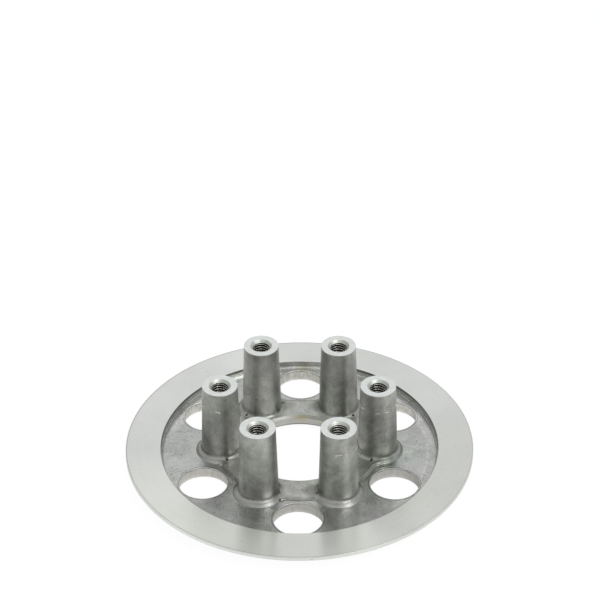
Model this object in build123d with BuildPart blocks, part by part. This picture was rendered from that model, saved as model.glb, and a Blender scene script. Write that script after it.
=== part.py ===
from build123d import *
import os
from math import cos, radians, tan

# Clutch pressure plate: a die-cast plate with six drilled posts, and the wire thread inserts
# wound into both ends of each post. Millimetres. The clutch's axis is Z, +Z runs from the
# back of the plate towards the post tips, and Z = 0 is the plane of the three small pads
# that the plate stands on.

# ---- Driving dimensions. Heights and depths are measured from the back disc ----------------

# Plate
PLATE_RADIUS = 59.0
FRICTION_HEIGHT = 6.6
FRICTION_INNER_RADIUS = 47.1
FRICTION_WALL_DRAFT = 3.0
RIM_THICKNESS = 1.35
WEB_THICKNESS = 4.15
BACK_DISC_RADIUS = 46.8
BACK_STEP_WIDTH = 0.5
BACK_STEP_HEIGHT = 0.6

# Hub ring: the raised ring that joins the feet of the posts, with a sloping edge
HUB_THICKNESS = 5.0
HUB_RADIUS = 27.1
HUB_BLEND = 4.0
HUB_DRAFT = 30.0
BORE_RADIUS = 17.3
BORE_FRONT_CHAMFER = 0.8
BORE_BACK_CHAMFER = 2.0

# Posts, and the round boss that each stands on
POST_COUNT = 6
POST_CIRCLE_RADIUS = 26.5
POST_HEIGHT = 31.0
POST_TIP_RADIUS = 5.95
POST_DRAFT = 1.75
FOOT_FLARE = 1.3
BOSS_RADIUS = 8.55

# Windows, halfway between the posts. They widen towards the back with the mould's draft
WINDOW_RADIUS = 8.2
WINDOW_DRAFT = 5.5
WINDOW_CIRCLE_RADIUS = 36.9

# Ejector-pin pads on the back, outside every second post
PAD_COUNT = 3
PAD_RADIUS = 4.7
PAD_HEIGHT = 0.3
PAD_CIRCLE_RADIUS = 40.9

# Dimple in the back round each drilling: its mouth, its waist and its bottom
DIMPLE_MOUTH_RADIUS = 6.0
DIMPLE_WAIST_RADIUS = 4.9
DIMPLE_WAIST_DEPTH = 2.3
DIMPLE_DEPTH = 3.8

# Drillings and their M6 x 1 wire thread inserts, without the thread's grooves
DRILL_RADIUS = 3.15
COUNTERSINK_RADIUS = 3.7
THREAD_MINOR_RADIUS = 2.5
INSERT_LENGTH = 9.0
BACK_INSERT_DEPTH = 4.0

# ---- Worked-out heights, radii and angles --------------------------------------------------

back_z = PAD_HEIGHT
web_z = back_z + WEB_THICKNESS
hub_z = back_z + HUB_THICKNESS
friction_z = back_z + FRICTION_HEIGHT
tip_z = back_z + POST_HEIGHT
half_pitch = 180 / POST_COUNT

wall_lean = (friction_z - web_z) * tan(radians(FRICTION_WALL_DRAFT))
window_back_radius = WINDOW_RADIUS + WEB_THICKNESS * tan(radians(WINDOW_DRAFT))

# The foot flares out in two steps, which are chords of a quarter circle
flare_top_z = hub_z + FOOT_FLARE
flare_top_radius = POST_TIP_RADIUS + (tip_z - flare_top_z) * tan(radians(POST_DRAFT))
flare_step = FOOT_FLARE * (1 - cos(radians(45)))

# The inserts' lower ends: the upper row's tops are level with the bottom of the countersink
countersink_depth = COUNTERSINK_RADIUS - DRILL_RADIUS
tip_insert_z = tip_z - countersink_depth - INSERT_LENGTH
back_insert_z = back_z + BACK_INSERT_DEPTH

# ---- The casting ---------------------------------------------------------------------------

# One post on its own axis: the flared foot, then a side that narrows with the mould's draft
with BuildPart() as post:
    with BuildSketch(Plane.XZ) as post_section:
        with BuildLine():
            flare = Polyline(
                (flare_top_radius + FOOT_FLARE, hub_z),
                (flare_top_radius + flare_step, hub_z + flare_step),
                (flare_top_radius, flare_top_z),
            )
            side = Bezier(flare @ 1, (POST_TIP_RADIUS, tip_z))
            Polyline(side @ 1, (0, tip_z), (0, hub_z), flare @ 0)
        make_face()
    revolve(axis=Axis.Z)

# One dimple on its own axis, as the solid that is cut away
with BuildPart() as dimple:
    with BuildSketch(Plane.XZ) as dimple_section:
        with BuildLine():
            Polyline(
                (0, back_z),
                (DIMPLE_MOUTH_RADIUS, back_z),
                (DIMPLE_WAIST_RADIUS, back_z + DIMPLE_WAIST_DEPTH),
                (DRILL_RADIUS, back_z + DIMPLE_DEPTH),
                (0, back_z + DIMPLE_DEPTH),
                close=True,
            )
        make_face()
    revolve(axis=Axis.Z)

# One window on its own axis, also as the solid that is cut away
with BuildPart() as window:
    with BuildSketch(Plane.XZ) as window_section:
        with BuildLine():
            wall = Bezier((window_back_radius, back_z), (WINDOW_RADIUS, web_z))
            Polyline(wall @ 1, (0, web_z), (0, back_z), wall @ 0)
        make_face()
    revolve(axis=Axis.Z)

with BuildPart() as casting:
    # Dished plate: a flat back disc, a cone out to the thin rim, and the raised friction ring
    with BuildSketch(Plane.XZ) as plate_section:
        with BuildLine():
            Polyline(
                (0, back_z),
                (BACK_DISC_RADIUS, back_z),
                (BACK_DISC_RADIUS + BACK_STEP_WIDTH, back_z + BACK_STEP_HEIGHT),
                (PLATE_RADIUS, friction_z - RIM_THICKNESS),
                (PLATE_RADIUS, friction_z),
                (FRICTION_INNER_RADIUS, friction_z),
                (FRICTION_INNER_RADIUS - wall_lean, web_z),
                (0, web_z),
                close=True,
            )
        make_face()
    revolve(axis=Axis.Z)

    # Hub ring, widened to a round boss under each post
    with BuildSketch(Plane.XY.offset(web_z)) as hub_outline:
        Circle(HUB_RADIUS)
        with PolarLocations(POST_CIRCLE_RADIUS, POST_COUNT):
            Circle(BOSS_RADIUS)
        fillet(hub_outline.vertices(), HUB_BLEND)
    extrude(amount=hub_z - web_z, taper=HUB_DRAFT)

    # Posts
    with PolarLocations(POST_CIRCLE_RADIUS, POST_COUNT):
        add(post)

    # Bore, chamfered at both ends
    Hole(BORE_RADIUS)
    bore_edges = casting.edges(Select.LAST).filter_by(GeomType.CIRCLE).sort_by(Axis.Z)
    chamfer(bore_edges[0], BORE_BACK_CHAMFER)
    chamfer(bore_edges[-1], BORE_FRONT_CHAMFER)

    # Windows
    with PolarLocations(WINDOW_CIRCLE_RADIUS, POST_COUNT, start_angle=half_pitch):
        add(window, mode=Mode.SUBTRACT)

    # Posts drilled from end to end, dimpled at the back and countersunk at the tip
    with PolarLocations(POST_CIRCLE_RADIUS, POST_COUNT):
        add(dimple, mode=Mode.SUBTRACT)
    with Locations((0, 0, tip_z)):
        with PolarLocations(POST_CIRCLE_RADIUS, POST_COUNT):
            CounterSinkHole(DRILL_RADIUS, COUNTERSINK_RADIUS, counter_sink_angle=90)

    # Ejector-pin pads
    with BuildSketch(Plane.XY) as pads:
        with PolarLocations(PAD_CIRCLE_RADIUS, PAD_COUNT, start_angle=2 * half_pitch):
            Circle(PAD_RADIUS)
    extrude(amount=PAD_HEIGHT)

casting.part.label = "pressure_plate_casting"

# ---- The thread inserts, one at each end of each post --------------------------------------

insert_rows = {"back_thread_insert": back_insert_z, "tip_thread_insert": tip_insert_z}

pieces = [casting.part]
for row_name, insert_z in insert_rows.items():
    for index, place in enumerate(PolarLocations(POST_CIRCLE_RADIUS, POST_COUNT), start=1):
        with BuildPart() as insert:
            with BuildSketch(Plane.XY.offset(insert_z)) as coil_ring:
                with Locations(place):
                    Circle(DRILL_RADIUS)
                    Circle(THREAD_MINOR_RADIUS, mode=Mode.SUBTRACT)
            extrude(amount=INSERT_LENGTH)
        insert.part.label = f"{row_name}_{index}"
        pieces.append(insert.part)

# ---- Export --------------------------------------------------------------------------------

os.makedirs("parts", exist_ok=True)
for piece in pieces:
    export_step(piece, f"parts/{piece.label}.step")
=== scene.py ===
from functools import reduce
from math import atan2, cos, hypot, pi, radians, sin

import bmesh
import bpy
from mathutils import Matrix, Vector


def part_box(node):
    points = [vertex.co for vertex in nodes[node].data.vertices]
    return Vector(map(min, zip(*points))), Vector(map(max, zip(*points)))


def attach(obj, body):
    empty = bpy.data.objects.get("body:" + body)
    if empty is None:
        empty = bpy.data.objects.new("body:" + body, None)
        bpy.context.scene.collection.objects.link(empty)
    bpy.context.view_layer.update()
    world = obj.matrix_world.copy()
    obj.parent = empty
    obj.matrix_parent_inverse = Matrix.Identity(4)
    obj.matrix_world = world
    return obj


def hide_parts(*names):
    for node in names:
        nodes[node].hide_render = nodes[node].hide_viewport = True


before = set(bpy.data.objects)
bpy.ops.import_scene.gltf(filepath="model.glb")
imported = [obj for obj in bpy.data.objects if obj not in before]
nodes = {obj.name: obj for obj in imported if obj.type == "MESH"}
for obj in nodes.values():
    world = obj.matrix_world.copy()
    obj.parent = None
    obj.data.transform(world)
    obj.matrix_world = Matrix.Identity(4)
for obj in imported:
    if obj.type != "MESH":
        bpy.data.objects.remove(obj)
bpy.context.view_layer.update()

# Clutch pressure plate, in metres. Z is the clutch's axis and Z = 0 the plane of the pads.
MM = 0.001

casting = nodes["pressure_plate_casting"]
_, plate_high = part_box("pressure_plate_casting")
plate_radius = plate_high.y
tip_z = plate_high.z

# The casting's radii and heights. Its front is the side of the posts, and far means along +Y
FRICTION_Z = 6.9 * MM
FRICTION_INNER_RADIUS = 47.1 * MM
BACK_Z = 0.3 * MM
BACK_STEP_RADIUS = 47.1 * MM
WEB_Z = 4.45 * MM
HUB_Z = 5.3 * MM
HUB_RADIUS = 27.1 * MM
BORE_RADIUS = 17.3 * MM
BORE_BACK_CHAMFER = 2.0 * MM
COUNTERSINK_RADIUS = 3.7 * MM
COUNTERSINK_DEPTH = 0.55 * MM
DRILL_RADIUS = 3.15 * MM
WINDOW_RADIUS = 8.2 * MM
WINDOW_BACK_RADIUS = 8.6 * MM
WINDOW_CIRCLE_RADIUS = 36.9 * MM
POST_COUNT = 6
POST_CIRCLE_RADIUS = 26.5 * MM
BOSS_RADIUS = 8.55 * MM

# ---- Shader graphs -------------------------------------------------------------------------

WHITE = (1.0, 1.0, 1.0)
NOISE_RANGE = (0.3, 0.7)
BEVEL_SAMPLES = 6


class Graph:
    """A node graph. Inputs may be sockets, numbers or colours."""

    def __init__(self, tree):
        self.tree = tree

    def put(self, socket, value):
        if isinstance(value, bpy.types.NodeSocket):
            self.tree.links.new(value, socket)
        elif socket.type == "RGBA":
            socket.default_value = (*value, 1.0)
        else:
            socket.default_value = value

    def node(self, kind, settings=None, **inputs):
        """A new node, with its properties in settings. In an input's name, _ is a space."""
        node = self.tree.nodes.new("ShaderNode" + kind)
        for key, value in (settings or {}).items():
            setattr(node, key, value)
        for key, value in inputs.items():
            self.put(node.inputs[key.replace("_", " ")], value)
        return node

    def math(self, operation, *values):
        node = self.node("Math", {"operation": operation})
        for socket, value in zip(node.inputs, values):
            self.put(socket, value)
        return node.outputs[0]

    def fold(self, operation, values):
        """The operation on the first two values, then on its result and the next one."""
        return reduce(lambda a, b: self.math(operation, a, b), values)

    def add(self, *values):
        return self.fold("ADD", values)

    def multiply(self, *values):
        return self.fold("MULTIPLY", values)

    def highest(self, *values):
        return self.fold("MAXIMUM", values)

    def invert(self, value):
        return self.math("SUBTRACT", 1.0, value)

    def span(self, value, low, high, to_low=0.0, to_high=1.0):
        """A number from to_low to to_high, as the value goes from low to high."""
        return self.node(
            "MapRange",
            Value=value, From_Min=low, From_Max=high, To_Min=to_low, To_Max=to_high,
        ).outputs["Result"]

    def fade(self, value, start, end):
        """1 up to the start, falling to 0 at the end."""
        return self.span(value, start, end, 1.0, 0.0)

    def line(self, value, at, width):
        """1 where the value is at that number, falling to 0 at half the width either side."""
        return self.fade(self.math("ABSOLUTE", self.math("SUBTRACT", value, at)), 0.0, width / 2)

    def axes(self, vector):
        """x, y and z."""
        return tuple(self.node("SeparateXYZ", Vector=vector).outputs)

    def vector(self, x, y, z):
        node = self.node("CombineXYZ")
        for socket, value in zip(node.inputs, (x, y, z)):
            self.put(socket, value)
        return node.outputs[0]

    def length(self, x, y):
        return self.math("SQRT", self.add(self.multiply(x, x), self.multiply(y, y)))

    def angle(self, x, y):
        return self.math("ARCTAN2", y, x)

    def from_axes(self, vector, circle_radius, start):
        """Distance from the nearest of six axes on a circle, the first of them at that angle."""
        x, y, _ = self.axes(vector)
        radius = self.length(x, y)
        half_step = pi / POST_COUNT
        turn = self.math("SUBTRACT", self.angle(x, y), start)
        turn = self.math("WRAP", turn, half_step, -half_step)
        out = self.multiply(radius, self.math("COSINE", turn))
        across = self.multiply(radius, self.math("SINE", turn))
        return self.length(self.math("SUBTRACT", out, circle_radius), across)

    def spots(self, vector, places):
        """1 at each place, given in mm as (x, y, z, radius, fade), and 0 beyond the fade."""
        masks = []
        for x, y, z, radius, fade in places:
            node = self.node("VectorMath", {"operation": "DISTANCE"})
            self.put(node.inputs[0], vector)
            self.put(node.inputs[1], (x * MM, y * MM, z * MM))
            masks.append(self.fade(node.outputs["Value"], radius * MM, (radius + fade) * MM))
        return self.highest(*masks)

    def noise(self, vector, size, detail=3.0, roughness=0.5, shift=None):
        """Cloudy noise from about 0.25 to 0.75, with features of that size in metres.

        A shift, also in metres, makes it unlike the noise of the same size elsewhere.
        """
        if shift:
            vector = self.node("Mapping", Vector=vector, Location=shift).outputs[0]
        return self.node(
            "TexNoise", Vector=vector, Scale=1 / size, Detail=detail, Roughness=roughness
        ).outputs["Fac"]

    def uneven(self, vector, size, low, high, detail=3.0, roughness=0.5):
        """Noise spread over the numbers from low to high."""
        return self.span(self.noise(vector, size, detail, roughness), *NOISE_RANGE, low, high)

    def mix(self, factor, a, b, blend="MIX"):
        node = self.node("Mix", {"data_type": "RGBA", "blend_type": blend})
        for socket, value in zip((node.inputs[0], node.inputs[6], node.inputs[7]), (factor, a, b)):
            self.put(socket, value)
        return node.outputs[2]

    def tinted(self, colour, mask, tint):
        """The colour multiplied by a tint, or by a number, as far as the mask goes."""
        return self.mix(mask, colour, tint, "MULTIPLY")


class Material(Graph):
    """A material's graph, with its shader."""

    def __init__(self, name):
        self.data = bpy.data.materials.new(name)
        self.data.use_nodes = True
        super().__init__(self.data.node_tree)
        self.shader = self.tree.nodes["Principled BSDF"]

    def surface(self, **inputs):
        for key, value in inputs.items():
            self.put(self.shader.inputs[key.replace("_", " ")], value)

    def place(self):
        """The point in the part's own frame."""
        return self.node("TexCoord").outputs["Object"]

    def bump(self, height, distance, normal):
        return self.node("Bump", Distance=distance, Height=height, Normal=normal).outputs[0]

    def rounded(self, radius):
        """The normal, with the solid's sharp edges rounded by that radius."""
        return self.node("Bevel", {"samples": BEVEL_SAMPLES}, Radius=radius).outputs[0]


# ---- As-cast skin --------------------------------------------------------------------------

# Single marks of the photograph's part, in mm: (x, y, z, radius, fade)
# Painted shade on three posts
SHADE_ON_POSTS = (
    (-26.5, 0.0, 14.0, 11.0, 9.0),
    (13.3, 23.0, 14.0, 11.0, 9.0),
    (26.5, 0.0, 20.0, 7.0, 9.0),
)
# Painted light on one post
LIGHT_ON_POSTS = ((-13.3, 23.0, 17.0, 11.0, 8.0),)
# Painted shade at two places on the hub
SHADE_ON_HUB = ((4.7, -23.3, 5.3, 2.0, 1.8), (6.3, 23.3, 5.3, 1.8, 2.2))
# Fainter painted shade at one place on the hub
FAINT_SHADE_ON_HUB = ((-5.6, 23.3, 5.3, 1.8, 2.0),)
# A painted sheen on the hub
SHEEN_ON_HUB = ((0.4, 22.4, 5.3, 1.6, 2.2),)
# Painted shade over two glints beside the feet
SHADE_OVER_GLINTS = ((28.9, -7.4, 4.9, 2.2, 2.0), (-5.6, -27.7, 5.1, 0.7, 0.6))
WALL_STAIN = ((0.8, 46.6, 5.6, 1.0, 1.3),)
LONE_PIT = ((-5.9, -27.8, 4.9, 0.32, 0.25),)
PIN_MARK_INSIDE = ((16.4, -34.3, 4.45, 0.85, 0.2),)
PIN_MARK = ((16.4, -34.3, 4.45, 1.1, 0.2),)
UNRUBBED_TIP = ((-13.3, -23.0, 31.3, 10.0, 1.0),)

# The pits beside the feet, to either side of each post's angle
PIT_CIRCLE_RADIUS = 25.5 * MM
PIT_ANGLE = radians(16.3)

# Where, along Y, the wall inside the friction ring turns from its sides to its far end
FAR_WALL = (42 * MM, 45 * MM)


class CastSurface(Material):
    """A cast material's graph, with the distances and masks that its marks go by."""

    def __init__(self, name):
        super().__init__(name)
        self.here = self.place()
        self.x, self.y, self.height = self.axes(self.here)
        self.radius = self.length(self.x, self.y)
        self.broken = self.span(self.noise(self.here, 6 * MM, 2.0), 0.36, 0.55)

        # Distances from the nearest post's axis, and from the nearest window's
        self.boss = self.from_axes(self.here, POST_CIRCLE_RADIUS, 0.0)
        self.window = self.from_axes(self.here, WINDOW_CIRCLE_RADIUS, pi / POST_COUNT)

        # Masks that are 1 in one region of the casting. The feet are smoother than the rest
        self.front = self.span(self.height, WEB_Z - 0.6 * MM, WEB_Z - 0.3 * MM)
        self.back = self.invert(self.front)
        self.on_web = self.multiply(
            self.front, self.fade(self.height, WEB_Z + 0.25 * MM, WEB_Z + 0.5 * MM)
        )
        self.on_plate = self.fade(self.height, HUB_Z + 0.2 * MM, HUB_Z + 1.0 * MM)
        self.on_posts = self.invert(self.on_plate)
        self.on_feet = self.multiply(
            self.front,
            self.fade(self.boss, 8.7 * MM, 9.0 * MM),
            self.fade(self.height, HUB_Z + 2 * MM, HUB_Z + 5 * MM),
        )
        self.on_flares = self.multiply(
            self.front,
            self.line(self.boss, 7.7 * MM, 3.0 * MM),
            self.fade(self.height, HUB_Z + 1.3 * MM, HUB_Z + 1.5 * MM),
        )


def clouds(g, dark, light):
    """Clouds, weaker on the plate, with faint stains, painted shade on three posts and painted
    light on one.
    """
    contrast = g.span(g.on_plate, 0.0, 1.0, 1.0, 0.5)
    cloudy = g.span(g.noise(g.here, 9 * MM, 6.0, 0.62), 0.32, 0.68, -0.5, 0.5)
    colour = g.mix(g.add(0.5, g.multiply(cloudy, contrast)), dark, light)
    tint = g.mix(g.highest(g.on_web, g.back), (1.0, 1.005, 0.965), (1.12, 1.135, 1.13))
    tint = g.mix(g.multiply(g.back, 0.8), tint, (0.96, 0.97, 0.95))
    colour = g.tinted(colour, 1.0, tint)

    # Painted shade on three posts, and painted light on one
    post_shade = g.multiply(g.spots(g.here, SHADE_ON_POSTS), g.on_posts)
    colour = g.tinted(colour, post_shade, (0.87, 0.87, 0.87))
    painted_light = g.multiply(g.spots(g.here, LIGHT_ON_POSTS), g.on_posts)
    colour = g.tinted(colour, painted_light, (1.1, 1.1, 1.1))
    green = g.span(g.noise(g.here, 21 * MM), 0.48, 0.66)
    colour = g.tinted(colour, green, (0.97, 1.0, 0.965))
    violet = g.span(g.noise(g.here, 17 * MM, shift=(0.1, 0.2, 0.0)), 0.52, 0.7)
    return g.tinted(colour, violet, (1.0, 0.98, 0.995))


def fine_texture(g, colour):
    """Fine mottling, weaker on the feet, and clusters of dark specks on the plate."""
    mottle = g.uneven(g.here, 2.2 * MM, 0.9, 1.09, 4.0, 0.65)
    grain = g.span(g.noise(g.here, 0.5 * MM, 2.0), 0.33, 0.67, 0.9, 1.08)
    fine = g.mix(g.multiply(g.on_feet, 0.7), g.multiply(mottle, grain), WHITE)
    colour = g.tinted(colour, 1.0, fine)
    clusters = g.span(g.noise(g.here, 6 * MM, shift=(0.0, 0.3, 0.1)), 0.46, 0.62)
    specks = g.span(g.noise(g.here, 0.9 * MM, 4.0, 0.7, (0.2, 0.0, 0.1)), 0.5, 0.62)
    specks = g.multiply(specks, clusters, g.on_plate, g.invert(g.on_feet), 0.5)
    return g.mix(specks, colour, (0.12, 0.12, 0.115))


def shade_lines(g, colour):
    """Painted shade: a thin dark line on the web round each boss's foot, and a broken one along
    each window's rounded lip.
    """
    lines = g.highest(
        g.line(g.boss, BOSS_RADIUS + 0.05 * MM, 0.36 * MM),
        g.multiply(g.line(g.window, WINDOW_RADIUS + 0.6 * MM, 0.4 * MM), g.broken),
    )
    return g.mix(g.multiply(lines, g.on_web, 0.85), colour, (0.07, 0.07, 0.065))


def flash_and_highlight_lines(g, colour):
    """A broken bright line just outside each dark one: part a cast flash line, part a painted
    highlight on the rounded edge.
    """
    lines = g.highest(
        g.line(g.boss, BOSS_RADIUS + 0.34 * MM, 0.28 * MM),
        g.line(g.window, WINDOW_RADIUS + 0.92 * MM, 0.3 * MM),
    )
    return g.mix(g.multiply(lines, g.broken, g.on_web, 0.55), colour, (0.75, 0.76, 0.72))


def back_marks(g, colour):
    """On the back, painted shade along the step, painted highlights on the windows' rims, and
    darker patches.
    """
    strength = g.span(g.noise(g.here, 5 * MM), 0.3, 0.5, 0.2, 0.65)
    step = g.multiply(g.line(g.radius, BACK_STEP_RADIUS, 0.9 * MM), strength, g.back)
    colour = g.mix(step, colour, (0.1, 0.1, 0.095))
    rims = g.line(g.window, WINDOW_BACK_RADIUS + 0.25 * MM, 0.5 * MM)
    colour = g.mix(g.multiply(rims, g.broken, g.back, 0.6), colour, (0.72, 0.73, 0.69))
    clouded = g.noise(g.here, 15 * MM, 5.0, 0.6, (0.2, 0.1, 0.0))
    return g.tinted(colour, g.back, g.span(clouded, 0.42, 0.62, 1.0, 0.82))


def hub_shades(g, colour):
    """Painted shade where posts spread and down the hub's slope, then painted shade, a painted
    sheen, and painted shade over two glints at single places on the hub.
    """
    slope = g.multiply(
        g.line(g.radius, HUB_RADIUS + 0.2 * MM, 2.0 * MM),
        g.span(g.boss, 8.5 * MM, 8.9 * MM),
        g.on_plate,
        g.front,
    )
    shade = g.add(g.multiply(g.on_flares, 0.32), g.multiply(slope, 0.45))
    colour = g.tinted(colour, 1.0, g.invert(shade))

    # Painted shade and a painted sheen at single places, and painted shade along the hub's far
    # edge
    dark = g.multiply(g.spots(g.here, SHADE_ON_HUB), g.on_plate)
    colour = g.tinted(colour, dark, (0.6, 0.605, 0.595))
    far_edge = g.multiply(
        g.line(g.radius, HUB_RADIUS - 0.5 * MM, 1.6 * MM), g.span(g.y, 21 * MM, 23 * MM)
    )
    dim = g.highest(g.multiply(g.spots(g.here, FAINT_SHADE_ON_HUB), g.on_plate), far_edge)
    colour = g.tinted(colour, dim, (0.74, 0.745, 0.735))
    sheen = g.multiply(g.spots(g.here, SHEEN_ON_HUB), g.on_plate)
    colour = g.tinted(colour, sheen, (1.16, 1.16, 1.17))
    # Painted shade over two glints
    return g.tinted(colour, g.spots(g.here, SHADE_OVER_GLINTS), (0.5, 0.51, 0.48))


def near_web_shade(g, colour):
    """Painted shade on the web's near side."""
    return g.tinted(colour, g.on_web, g.span(g.y, -36 * MM, -24 * MM, 0.88, 1.0))


def wall_bands(g, colour):
    """Painted light and shade on the wall inside the friction ring, which differ at its far end.
    """
    # Painted light on the far side, most of all at the foot
    painted_light = g.multiply(
        g.front,
        g.span(g.radius, 46.2 * MM, FRICTION_INNER_RADIUS - 0.15 * MM),
        g.span(g.y, 22 * MM, 38 * MM),
        g.span(g.broken, 0.0, 1.0, 0.45, 1.0),
    )
    pale = g.span(g.height, WEB_Z, FRICTION_Z - 0.6 * MM, 1.45, 1.1)
    colour = g.tinted(colour, painted_light, pale)

    # Painted shade down the wall and under the ring's edge, and only in a crease at the far end
    inner = g.multiply(
        g.line(g.radius, 46.6 * MM, 0.9 * MM),
        g.front,
        g.fade(g.height, FRICTION_Z - 0.4 * MM, FRICTION_Z - 0.2 * MM),
        g.span(g.y, 0.0, 36 * MM, 1.0, 0.3),
        g.span(g.y, 2 * MM, 14 * MM, 0.5, 0.28),
    )
    colour = g.mix(inner, colour, (0.06, 0.06, 0.055))
    brow = g.multiply(
        g.span(g.height, FRICTION_Z - 1.3 * MM, FRICTION_Z - 0.3 * MM, 0.0, 0.85),
        g.span(g.radius, 46.5 * MM, 46.7 * MM),
        g.span(g.y, *FAR_WALL, 0.85, 0.15),
    )
    colour = g.mix(brow, colour, (0.035, 0.035, 0.033))
    crease = g.multiply(
        g.line(g.height, FRICTION_Z - 1.45 * MM, 0.8 * MM),
        g.span(g.radius, 46.0 * MM, 46.5 * MM),
        g.span(g.y, *FAR_WALL, 0.0, 0.5),
    )
    colour = g.mix(crease, colour, (0.035, 0.035, 0.033))

    # Painted light below the crease, and stained at one place
    strip = g.multiply(
        g.fade(g.height, FRICTION_Z - 2.2 * MM, FRICTION_Z - 1.9 * MM),
        g.span(g.radius, 45.2 * MM, 45.5 * MM),
        g.span(g.y, *FAR_WALL),
    )
    colour = g.tinted(colour, strip, (1.13, 1.13, 1.12))
    return g.tinted(colour, g.spots(g.here, WALL_STAIN), (0.93, 0.9, 0.79))


def web_arcs(g, colour):
    """Painted light along the web's far edge, and a pale rough arc on its right."""
    ledge = g.multiply(
        g.span(g.radius, 42 * MM, 45.5 * MM),
        g.span(g.radius, 46.0 * MM, 46.6 * MM, 1.0, 0.2),
        g.span(g.y, 2 * MM, 20 * MM),
        g.on_web,
    )
    colour = g.tinted(colour, ledge, (1.55, 1.55, 1.54))
    rough = g.multiply(
        g.line(g.radius, 43.6 * MM, 1.0 * MM),
        g.span(g.x, 28 * MM, 36 * MM),
        g.span(g.noise(g.here, 1.6 * MM, 3.0, 0.6, (0.2, 0.0, 0.1)), 0.42, 0.6),
        g.on_web,
        0.4,
    )
    return g.mix(rough, colour, (0.85, 0.85, 0.84))


def pin_and_rub_marks(g, colour):
    """An ejector pin's round mark on the web, and rub marks near three of the tips."""
    inside = g.spots(g.here, PIN_MARK_INSIDE)
    ring = g.math("SUBTRACT", g.spots(g.here, PIN_MARK), inside)
    colour = g.mix(g.multiply(ring, 0.45), colour, (0.14, 0.145, 0.14))
    wavy = g.add(g.height, g.uneven(g.here, 3 * MM, -0.5 * MM, 0.5 * MM, 2.0))
    rub = g.multiply(
        g.line(wavy, tip_z - 6.8 * MM, 0.42 * MM),
        g.span(g.noise(g.here, 2.4 * MM, 2.0, shift=(0.1, 0.1, 0.0)), 0.5, 0.58),
        g.fade(g.y, 10 * MM, 12 * MM),
        g.invert(g.spots(g.here, UNRUBBED_TIP)),
    )
    return g.mix(rub, colour, (0.95, 0.95, 0.88))


def ragged_pits(g):
    """A ragged pit on each side of each foot, and a single one on the near side."""
    sides = [g.from_axes(g.here, PIT_CIRCLE_RADIUS, turn) for turn in (PIT_ANGLE, -PIT_ANGLE)]
    ragged = g.add(g.math("MINIMUM", *sides), g.uneven(g.here, 1.1 * MM, -0.28 * MM, 0.28 * MM))
    pits = g.multiply(g.fade(ragged, 0.3 * MM, 0.5 * MM), g.front)
    return g.highest(pits, g.spots(g.here, LONE_PIT))


def cast_skin(name, dark, light, edge_radius):
    """As-cast aluminium: cloudy grey, faint stains, specks and pits, with painted light and shade
    along edges and in places.
    """
    g = CastSurface(name)
    flecks = g.span(g.noise(g.here, 0.75 * MM, 1.0, shift=(0.3, 0.1, 0.0)), 0.7, 0.76, 0.0, 0.6)
    pits = ragged_pits(g)

    colour = clouds(g, dark, light)
    colour = fine_texture(g, colour)
    colour = g.mix(flecks, colour, (0.09, 0.09, 0.08))
    colour = shade_lines(g, colour)
    colour = back_marks(g, colour)
    colour = hub_shades(g, colour)
    colour = near_web_shade(g, colour)
    colour = wall_bands(g, colour)
    colour = web_arcs(g, colour)
    colour = flash_and_highlight_lines(g, colour)
    colour = g.mix(pits, colour, (0.012, 0.012, 0.01))
    colour = pin_and_rub_marks(g, colour)

    # Grain and pits in the surface, and a gloss that is higher on the plate and the feet
    relief = g.noise(g.here, 0.8 * MM, 3.0, 0.6)
    relief = g.multiply(relief, g.span(g.on_feet, 0.0, 1.0, 1.0, 0.35))
    relief = g.add(relief, g.multiply(g.highest(flecks, pits), -0.8))
    blasted = g.span(g.height, HUB_Z + 1.5 * MM, 20 * MM, 0.42, 0.5)
    smooth = g.highest(g.multiply(g.on_plate, g.front), g.on_feet)
    roughness = g.math("SUBTRACT", blasted, g.multiply(smooth, 0.13))
    g.surface(
        Base_Color=colour,
        Metallic=1.0,
        Roughness=g.add(roughness, g.uneven(g.here, 5 * MM, -0.05, 0.06, 4.0)),
        Normal=g.bump(
            relief,
            0.03 * MM,
            g.rounded(g.span(g.on_flares, 0.0, 0.5, edge_radius, 2.5 * edge_radius)),
        ),
    )
    return g.data


# ---- Machined and cored finishes -----------------------------------------------------------

MACHINED_EDGE = 0.15 * MM
CORED_EDGE = 0.35 * MM
QUARTER_TURN = 0.25

# How far a turned ring's noise moves in one radian, so that the rings change slowly
RING_DRIFT = 0.2 * MM

# Single marks, in mm: (x, y, z, radius, fade)
# Painted shade on the ring's right side
SHADE_ON_RING = ((53.0, -8.0, 6.9, 14.0, 22.0),)
# Painted light on the ring's near left
LIGHT_ON_RING = ((-36.0, -36.0, 6.9, 12.0, 24.0),)
BORE_STAIN = ((0.7, 17.2, 5.3, 0.6, 2.4),)
# Painted light on one window's wall
LIGHT_ON_WINDOW = ((-32.0, -18.4, 3.0, 9.0, 4.0),)


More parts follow.
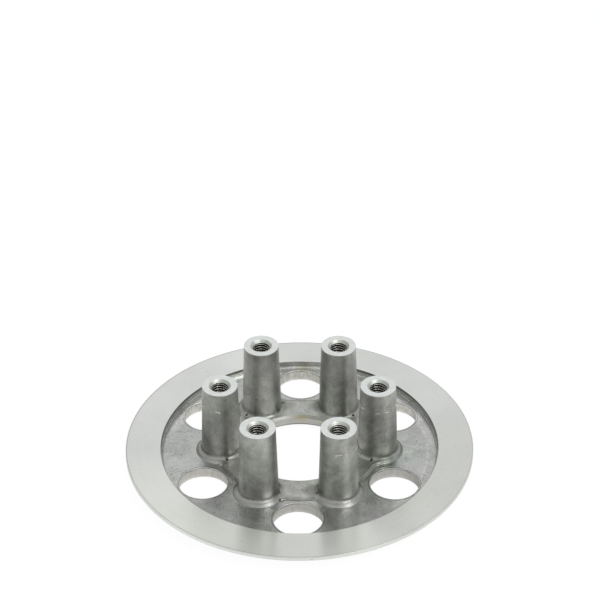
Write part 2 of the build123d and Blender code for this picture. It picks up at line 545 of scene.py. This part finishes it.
def turned(name, dark, light, groove, roughness, anisotropy):
    """Metal faced on a lathe: fine rings about the clutch's axis, cloudy wear, and painted light
    and shade.
    """
    g = Material(name)
    here = g.place()
    x, y, height = g.axes(here)
    radius = g.length(x, y)
    drift = g.multiply(g.angle(x, y), RING_DRIFT)
    rings = g.noise(g.vector(radius, drift, height), groove, 2.0)
    wear = g.uneven(here, 12 * MM, 0.0, 1.0, 5.0, 0.6)
    colour = g.mix(wear, dark, light)
    colour = g.tinted(colour, 1.0, g.span(rings, *NOISE_RANGE, 0.985, 1.015))

    # The friction ring: painted light on the rim's side, specks, and painted shade lines along its
    # edges
    rim = g.multiply(
        g.fade(height, FRICTION_Z - 0.4 * MM, FRICTION_Z - 0.2 * MM),
        g.span(radius, 50 * MM, 51 * MM),
    )
    colour = g.tinted(colour, rim, (1.2, 1.2, 1.195))
    specks = g.span(g.noise(here, 0.9 * MM, 1.0), 0.72, 0.78, 0.0, 0.45)
    colour = g.mix(specks, colour, (0.3, 0.3, 0.29))
    edge = g.multiply(
        g.line(radius, plate_radius - 0.32 * MM, 0.24 * MM),
        g.span(x, -10 * MM, 35 * MM, 0.85, 0.4),
    )
    colour = g.mix(edge, colour, (0.1, 0.1, 0.095))
    lip = g.multiply(
        g.line(radius, FRICTION_INNER_RADIUS + 0.04 * MM, 0.24 * MM),
        g.span(y, -45 * MM, -36 * MM),
        g.span(wear, 0.1, 0.6, 0.7, 1.0),
    )
    colour = g.mix(lip, colour, (0.05, 0.05, 0.045))

    # The bore: painted light on the wall below painted shade on the front chamfer
    in_bore = g.fade(radius, 19 * MM, 20 * MM)
    chamfered = g.span(height, HUB_Z - 0.95 * MM, HUB_Z - 0.75 * MM, 1.12, 0.62)
    colour = g.tinted(colour, in_bore, chamfered)

    # A warm tint on the near side, then painted shade and painted light across the plate
    colour = g.tinted(colour, g.fade(y, -35 * MM, 0.0), (0.995, 1.0, 0.972))
    colour = g.tinted(colour, g.spots(here, SHADE_ON_RING), (0.95, 0.95, 0.935))
    colour = g.tinted(colour, g.spots(here, LIGHT_ON_RING), (1.16, 1.16, 1.155))
    colour = g.tinted(colour, 1.0, g.span(y, -10 * MM, 25 * MM, 1.0, 1.055))

    # The bore again: a painted highlight along its back edge, and a warm stain on its far side
    bright = g.multiply(
        g.line(radius, BORE_RADIUS + 0.1 * MM, 0.4 * MM),
        g.span(height, BACK_Z + BORE_BACK_CHAMFER, WEB_Z, 0.6, 0.0),
    )
    colour = g.mix(bright, colour, (0.7, 0.7, 0.66))
    colour = g.tinted(colour, g.spots(here, BORE_STAIN), (1.0, 0.93, 0.7))
    g.surface(
        Base_Color=colour,
        Metallic=1.0,
        Roughness=roughness,
        Anisotropic=anisotropy,
        Anisotropic_Rotation=QUARTER_TURN,
        Tangent=g.node("Tangent", {"direction_type": "RADIAL", "axis": "Z"}).outputs[0],
        Normal=g.bump(rings, 0.001 * MM, g.rounded(MACHINED_EDGE)),
    )
    return g.data


def faced(name, dark, light, roughness):
    """A small face cut by an end mill."""
    g = Material(name)
    here = g.place()
    g.surface(
        Base_Color=g.mix(g.uneven(here, 1.5 * MM, 0.0, 1.0, 4.0), dark, light),
        Metallic=1.0,
        Roughness=roughness,
        Normal=g.bump(g.noise(here, 0.3 * MM), 0.004 * MM, g.rounded(MACHINED_EDGE)),
    )
    return g.data


def cored(name, dark, light):
    """The wall that a core leaves: pale, streaked along the draw, with painted light in places and
    painted shade below the lip.
    """
    g = Material(name)
    here = g.place()
    _, y, height = g.axes(here)
    stretched = g.node("Mapping", Vector=here, Scale=(1.0, 1.0, 0.3)).outputs[0]
    streaks = g.noise(stretched, 0.9 * MM, 4.0, 0.65)
    colour = g.mix(g.span(streaks, *NOISE_RANGE), dark, light)

    # More even on the near side. Painted light on the far side, at one window, and along the back
    even = g.span(y, -14 * MM, 24 * MM, 0.6, 0.0)
    colour = g.mix(even, colour, (0.5, 0.49, 0.468))
    colour = g.tinted(colour, 1.0, g.span(y, 16 * MM, 24 * MM, 1.0, 1.32))
    colour = g.tinted(colour, g.spots(here, LIGHT_ON_WINDOW), (1.34, 1.33, 1.33))
    colour = g.tinted(colour, 1.0, g.span(height, BACK_Z, BACK_Z + 1.5 * MM, 1.3, 1.0))

    # A wavy line of painted shade below the lip's rounded edge, and flecks
    wavy = g.add(height, g.uneven(here, 2.5 * MM, -0.2 * MM, 0.2 * MM, 2.0))
    lip_shade = g.multiply(
        g.line(wavy, WEB_Z - 0.45 * MM, 0.55 * MM),
        g.span(g.noise(here, 4 * MM, 2.0), 0.4, 0.55, 0.35, 0.8),
    )
    colour = g.mix(lip_shade, colour, (0.1, 0.1, 0.09))
    flecks = g.span(g.noise(here, 0.6 * MM, 1.0, shift=(0.3, 0.1, 0.0)), 0.68, 0.76, 0.0, 0.6)
    colour = g.mix(flecks, colour, (0.12, 0.12, 0.11))
    g.surface(
        Base_Color=colour,
        Metallic=1.0,
        Roughness=0.45,
        Normal=g.bump(streaks, 0.02 * MM, g.rounded(CORED_EDGE)),
    )
    return g.data


# ---- The casting's finishes, face by face --------------------------------------------------

# The colours are each finish's darkest and lightest tone
skin = cast_skin("cast_skin", (0.29, 0.292, 0.287), (0.50, 0.503, 0.493), 0.45 * MM)
countersunk = faced("countersunk", (0.41, 0.425, 0.39), (0.52, 0.54, 0.495), 0.5)
finishes = {
    "skin": skin,
    "ring": turned(
        "turned_ring", (0.60, 0.61, 0.595), (0.64, 0.65, 0.635), 0.35 * MM, 0.3, 0.92
    ),
    "bore": turned("turned_bore", (0.43, 0.43, 0.395), (0.53, 0.53, 0.485), 0.2 * MM, 0.5, 0.3),
    "chamfer": turned(
        "turned_chamfer", (0.24, 0.243, 0.235), (0.32, 0.322, 0.31), 0.2 * MM, 0.5, 0.3
    ),
    "tip": faced("faced_tip", (0.62, 0.645, 0.63), (0.71, 0.735, 0.72), 0.3),
    "sink": countersunk,
    "drill": faced("drilled", (0.30, 0.30, 0.28), (0.42, 0.42, 0.40), 0.35),
    "window": cored("cored_wall", (0.38, 0.377, 0.352), (0.62, 0.615, 0.578)),
    "pad": cast_skin("pad_skin", (0.46, 0.46, 0.43), (0.60, 0.60, 0.56), 0.15 * MM),
}

# Faces are told apart by the place of their centre, and by the z of their normal
SAME = 0.05 * MM
RIM_REACH = 0.5 * MM
UPRIGHT = 0.3
SLANTED = 0.9


def nearest_distance(point, circle_radius, start):
    """Distance from a point to the nearest of six axes on a circle."""
    angle = atan2(point.y, point.x)
    step = 2 * pi / POST_COUNT
    axis = round((angle - start) / step) * step + start
    return hypot(point.x - circle_radius * cos(axis), point.y - circle_radius * sin(axis))


def finish_of(face):
    """The name of a face's finish."""
    centre, slope = face.center, face.normal.z
    radius = hypot(centre.x, centre.y)
    upright = abs(slope) < UPRIGHT
    post_distance = nearest_distance(centre, POST_CIRCLE_RADIUS, 0.0)
    window_distance = nearest_distance(centre, WINDOW_CIRCLE_RADIUS, pi / POST_COUNT)
    if centre.z > tip_z - SAME:
        return "tip"
    if centre.z > tip_z - COUNTERSINK_DEPTH - SAME and post_distance < COUNTERSINK_RADIUS + SAME:
        return "sink"
    if post_distance < DRILL_RADIUS + SAME and upright:
        return "drill"
    if radius > FRICTION_INNER_RADIUS and centre.z > FRICTION_Z - SAME:
        return "ring"
    if radius > plate_radius - RIM_REACH and upright:
        return "ring"
    in_bore = radius < BORE_RADIUS + BORE_BACK_CHAMFER + SAME and centre.z < HUB_Z
    if in_bore and abs(slope) < SLANTED:
        return "chamfer" if slope < -UPRIGHT else "bore"
    if WINDOW_RADIUS - SAME < window_distance < WINDOW_BACK_RADIUS + SAME and upright:
        return "window"
    if centre.z < BACK_Z - SAME:
        return "pad"
    return "skin"


casting.data.materials.clear()
for material in finishes.values():
    casting.data.materials.append(material)
slot_of = {name: index for index, name in enumerate(finishes)}
for face in casting.data.polygons:
    face.material_index = slot_of[finish_of(face)]

# ---- Meshes --------------------------------------------------------------------------------

STEPS_PER_TURN = 48


def new_object(name, data):
    thing = bpy.data.objects.new(name, data)
    bpy.context.scene.collection.objects.link(thing)
    return thing


def loop_at(mesh, x, y, section, turn):
    """A closed section of (radius, z), as vertices at one turn about an upright axis."""
    return [mesh.verts.new((x + r * cos(turn), y + r * sin(turn), z)) for r, z in section]


def bridge(mesh, loops):
    """Faces from each loop to the next."""
    faces = []
    for before, after in zip(loops, loops[1:]):
        for i in range(len(before)):
            j = (i + 1) % len(before)
            faces.append(mesh.faces.new((before[i], after[i], after[j], before[j])))
    return faces


def revolve(mesh, x, y, section):
    """The faces of a closed section turned all the way about an upright axis."""
    turns = [2 * pi * step / STEPS_PER_TURN for step in range(STEPS_PER_TURN)]
    loops = [loop_at(mesh, x, y, section, turn) for turn in turns]
    return bridge(mesh, loops + loops[:1])


def piece_of(name, mesh):
    """An object made of that mesh, with its faces outwards."""
    bmesh.ops.recalc_face_normals(mesh, faces=mesh.faces)
    data = bpy.data.meshes.new(name)
    mesh.to_mesh(data)
    mesh.free()
    return new_object(name, data)


# ---- Bell mouths of the drillings on the back ----------------------------------------------

MOUTH_RADIUS = 6.0 * MM
WAIST_RADIUS = 4.9 * MM
WAIST_DEPTH = 2.3 * MM
BELL_SHOULDER = (4.55 * MM, 0.35 * MM)
BELL_DEPTH = 3.79 * MM
BELL_STEPS = 14
BELL_CREASE = radians(50)
CLEAR = 0.01 * MM


def bell_mouth(name, x, y):
    """A ring that fills out one stepped dimple to a smooth bell, level with the back."""
    shoulder_radius, shoulder_depth = BELL_SHOULDER
    section = []
    for step in range(BELL_STEPS + 1):
        t = step / BELL_STEPS
        start, bend, end = (1 - t) ** 2, 2 * t * (1 - t), t**2
        radius = start * MOUTH_RADIUS + bend * shoulder_radius + end * (DRILL_RADIUS + CLEAR)
        section.append((radius, BACK_Z + bend * shoulder_depth + end * BELL_DEPTH))
    section.append((WAIST_RADIUS - CLEAR, BACK_Z + WAIST_DEPTH))
    mesh = bmesh.new()
    for face in revolve(mesh, x, y, section):
        face.smooth = True
    piece = piece_of(name, mesh)
    piece.data.set_sharp_from_angle(angle=BELL_CREASE)
    return piece


for index in range(POST_COUNT):
    turn = 2 * pi * index / POST_COUNT
    x, y = POST_CIRCLE_RADIUS * cos(turn), POST_CIRCLE_RADIUS * sin(turn)
    bell = bell_mouth(f"dimple_mouth_{index + 1}", x, y)
    bell.data.materials.append(skin)
    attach(bell, "root")

# ---- Thread inserts, as coils of diamond-section wire --------------------------------------

THREAD_PITCH = 1.0 * MM
THREAD_MINOR_RADIUS = 2.5 * MM
ROOT_RADIUS = 3.08 * MM
CREST_HALF_WIDTH = 0.06 * MM
WIRE_HALF_HEIGHT = 0.47 * MM
LEAD_IN_RADIUS = 2.8 * MM
LEAD_IN_DEPTH = 0.34 * MM
COLLAR_LAND = 0.02 * MM
WIRE_EDGE = 0.05 * MM

# The coil's flat ends lie inside its collars
CUT_DEPTH = 0.9 * LEAD_IN_DEPTH


def coil(name, low, high):
    """A right-handed coil that fills a sleeve's box, with a coned collar at each end."""
    axis = (low + high) / 2
    outer = (high.x - low.x) / 2 - CLEAR
    middle = (THREAD_MINOR_RADIUS + ROOT_RADIUS) / 2
    middle_height = (CREST_HALF_WIDTH + WIRE_HALF_HEIGHT) / 2
    section = [
        (THREAD_MINOR_RADIUS, -CREST_HALF_WIDTH),
        (THREAD_MINOR_RADIUS, CREST_HALF_WIDTH),
        (middle, middle_height),
        (ROOT_RADIUS, WIRE_HALF_HEIGHT),
        (outer, WIRE_HALF_HEIGHT),
        (outer, -WIRE_HALF_HEIGHT),
        (ROOT_RADIUS, -WIRE_HALF_HEIGHT),
        (middle, -middle_height),
    ]
    # Each vertex carries its depth in the groove: 0 at the crest, 1 at the root
    depths = [(r - THREAD_MINOR_RADIUS) / (ROOT_RADIUS - THREAD_MINOR_RADIUS) for r, _ in section]
    bottom = low.z - THREAD_PITCH
    turns = round((high.z - low.z) / THREAD_PITCH) + 2
    mesh = bmesh.new()
    groove = mesh.verts.layers.float.new("groove")
    loops = []
    for step in range(turns * STEPS_PER_TURN + 1):
        rise = bottom + THREAD_PITCH * step / STEPS_PER_TURN
        risen = [(radius, rise + z) for radius, z in section]
        loop = loop_at(mesh, axis.x, axis.y, risen, 2 * pi * step / STEPS_PER_TURN)
        for vertex, depth in zip(loop, depths):
            vertex[groove] = depth
        loops.append(loop)
    bridge(mesh, loops)

    # Cut the coil flat at each end, and close it with a coned collar
    for end, way in ((low.z, -1), (high.z, 1)):
        cut = bmesh.ops.bisect_plane(
            mesh,
            geom=mesh.verts[:] + mesh.edges[:] + mesh.faces[:],
            plane_co=(0, 0, end - way * CUT_DEPTH),
            plane_no=(0, 0, way),
            clear_outer=True,
        )
        edges = [e for e in cut["geom_cut"] if isinstance(e, bmesh.types.BMEdge)]
        bmesh.ops.holes_fill(mesh, edges=edges)
        collar = [
            (outer - COLLAR_LAND, end),
            (outer, end),
            (outer, end - way * LEAD_IN_DEPTH),
            (LEAD_IN_RADIUS, end - way * LEAD_IN_DEPTH),
        ]
        for face in revolve(mesh, axis.x, axis.y, collar):
            face.material_index = 1
    return piece_of(name, mesh)


def wire_steel():
    """Drawn stainless wire: bright crests, and darkening down in the grooves, partly oil and
    partly painted shade.
    """
    g = Material("insert_wire")
    here = g.place()
    groove = g.node("Attribute", {"attribute_name": "groove"}).outputs["Fac"]
    # Darkening down the grooves: partly oil, partly painted shade in the recess
    oil_and_shade = g.span(g.add(groove, g.uneven(here, 0.5 * MM, -0.12, 0.12)), 0.02, 0.24)
    tone = g.uneven(here, 0.6 * MM, 0.0, 1.0)
    bright = g.mix(tone, (0.48, 0.475, 0.44), (0.64, 0.63, 0.59))
    g.surface(
        Base_Color=g.mix(oil_and_shade, bright, (0.014, 0.013, 0.011)),
        Metallic=1.0,
        Roughness=g.uneven(here, 1.2 * MM, 0.24, 0.4),
        Normal=g.bump(g.noise(here, 0.15 * MM), 0.002 * MM, g.rounded(WIRE_EDGE)),
    )
    return g.data


wire = wire_steel()
for node in nodes:
    if "thread_insert" in node:
        piece = coil(node.replace("insert", "coil"), *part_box(node))
        piece.data.materials.append(wire)
        piece.data.materials.append(countersunk)
        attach(piece, "root")
        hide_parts(node)

# ---- Floor ---------------------------------------------------------------------------------

FLOOR_SIZE = 6.0
FLOOR_GLOW = 1.04
SHADOW_SEEN = 0.08
SHADOW_MIRRORED = 0.8


def pale_floor():
    """White to the camera, with a little shadow left, and shaded in the part's reflections."""
    g = Material("pale_floor")
    g.surface(Base_Color=(0.95, 0.95, 0.95), Roughness=0.9, Specular_IOR_Level=0.0)
    rays = g.node("LightPath").outputs
    seen = g.highest(rays["Is Camera Ray"], rays["Is Transmission Ray"])
    seen = g.multiply(seen, 1 - SHADOW_SEEN)
    mirrored = g.multiply(rays["Is Glossy Ray"], 1 - SHADOW_MIRRORED)
    glow = g.node("Emission", Color=WHITE, Strength=FLOOR_GLOW)
    blend = g.node("MixShader")
    inputs = (g.highest(seen, mirrored), g.shader.outputs[0], glow.outputs[0])
    for socket, value in zip(blend.inputs, inputs):
        g.put(socket, value)
    g.put(g.tree.nodes["Material Output"].inputs["Surface"], blend.outputs[0])
    return g.data


def flat_square(name, size):
    mesh = bpy.data.meshes.new(name)
    half = size / 2
    mesh.from_pydata(
        [(-half, -half, 0), (half, -half, 0), (half, half, 0), (-half, half, 0)],
        [],
        [(0, 1, 2, 3)],
    )
    return new_object(name, mesh)


floor = flat_square("floor", FLOOR_SIZE)
floor.data.materials.append(pale_floor())

# ---- Light ---------------------------------------------------------------------------------

# The room is darker on the left. Its strength changes over this span of a direction's x
ROOM_LEFT = 0.72
ROOM_RIGHT = 1.0
ROOM_SPAN = (-0.9, -0.35)
SOFT_LIGHT = 0.75

KEY_PLACE = (0.5, -0.42, 0.75)
KEY_SIZE = 0.45
KEY_POWER = 3.6


def light_room():
    """A world that the camera sees white, and that gives soft light from every side."""
    world = bpy.data.worlds.new("studio")
    bpy.context.scene.world = world
    world.use_nodes = True
    g = Graph(world.node_tree)
    rays = g.node("LightPath").outputs
    side, _, _ = g.axes(g.node("TexCoord").outputs["Generated"])
    room = g.span(side, *ROOM_SPAN, ROOM_LEFT, ROOM_RIGHT)
    soft = g.span(rays["Is Diffuse Ray"], 0.0, 1.0, 1.0, SOFT_LIGHT)
    strength = g.node("Mix", Factor=rays["Is Camera Ray"], A=g.multiply(room, soft), B=1.0)
    background = g.tree.nodes["Background"].inputs
    g.put(background["Strength"], strength.outputs[0])
    g.put(background["Color"], WHITE)


def softbox(name, place, size, power):
    """A square lamp that faces the part."""
    lamp = bpy.data.lights.new(name, "AREA")
    lamp.shape = "SQUARE"
    lamp.size = size
    lamp.energy = power
    lamp_object = new_object(name, lamp)
    lamp_object.location = place
    lamp_object.rotation_euler = (-Vector(place)).to_track_quat("-Z", "Y").to_euler()


light_room()
softbox("key", KEY_PLACE, KEY_SIZE, KEY_POWER)

# ---- Camera, fitted to the photograph's ring, bore and six tips ----------------------------

CAMERA_PLACE = (10.870 * MM, -628.430 * MM, 499.907 * MM)
CAMERA_TURN = (radians(55.3886), radians(0.3503), radians(0.6989))
CAMERA_LENS = 140.707
CAMERA_SENSOR = 36.0
CAMERA_NEAR = 0.05

camera_data = bpy.data.cameras.new("camera")
camera_data.lens = CAMERA_LENS
camera_data.sensor_width = CAMERA_SENSOR
camera_data.clip_start = CAMERA_NEAR
camera = new_object("camera", camera_data)
camera.location = CAMERA_PLACE
camera.rotation_euler = CAMERA_TURN
bpy.context.scene.camera = camera

bpy.context.scene.view_settings.view_transform = "Standard"
